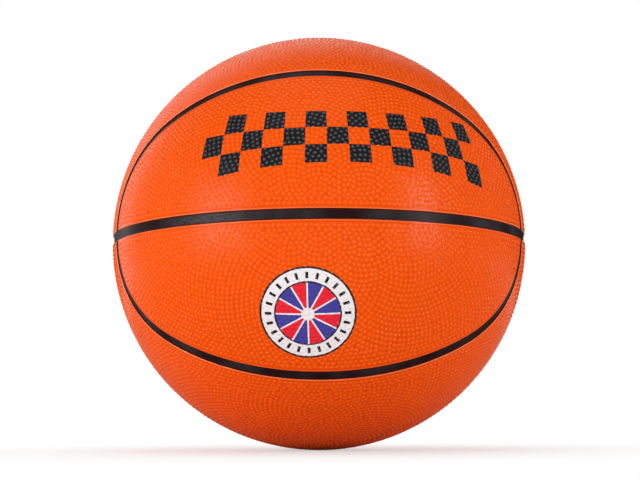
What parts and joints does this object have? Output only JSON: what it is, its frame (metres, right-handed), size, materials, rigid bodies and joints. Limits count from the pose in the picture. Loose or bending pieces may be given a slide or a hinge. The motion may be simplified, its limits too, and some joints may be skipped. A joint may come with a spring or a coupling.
{
  "type": "basketball",
  "caption": "Moulded rubber ball with curved cover panels set between sunken seam strips, a wound carcass, an air bladder and a plug valve.",
  "frame": {"origin": "centre of the ball", "axes": "+X through the crossing of the equator and meridian seams on the right of the picture, the axis about which both seams and both loops repeat; +Z square to the plane of the equator seam; +Y towards the back eye of panels, which holds the valve; -Y towards the front eye, which the picture shows"},
  "size_m": [0.2416, 0.2418, 0.2418],
  "materials": {
    "cover": "pebbled, satin, with smooth borders",
    "seam": "smooth, satin",
    "carcass": "matte",
    "winding": "wound nylon thread",
    "bladder": "smooth",
    "valve": "smooth, satin"
  },
  "bodies": {
    "root": {"front_panel_upper": "cover", "front_panel_lower": "cover", "back_panel_upper": "cover", "back_panel_lower": "cover", "crown_panel_front": "cover", "crown_panel_back": "cover", "base_panel_front": "cover", "base_panel_back": "cover", "seam_equator": "seam", "seam_meridian_upper": "seam", "seam_meridian_lower": "seam", "seam_loop_front_upper": "seam", "seam_loop_front_lower": "seam", "seam_loop_back_upper": "seam", "seam_loop_back_lower": "seam", "carcass": "carcass", "winding": "winding", "bladder": "bladder", "valve_seat": "valve", "valve_plug": "valve"}
  },
  "joints": []
}
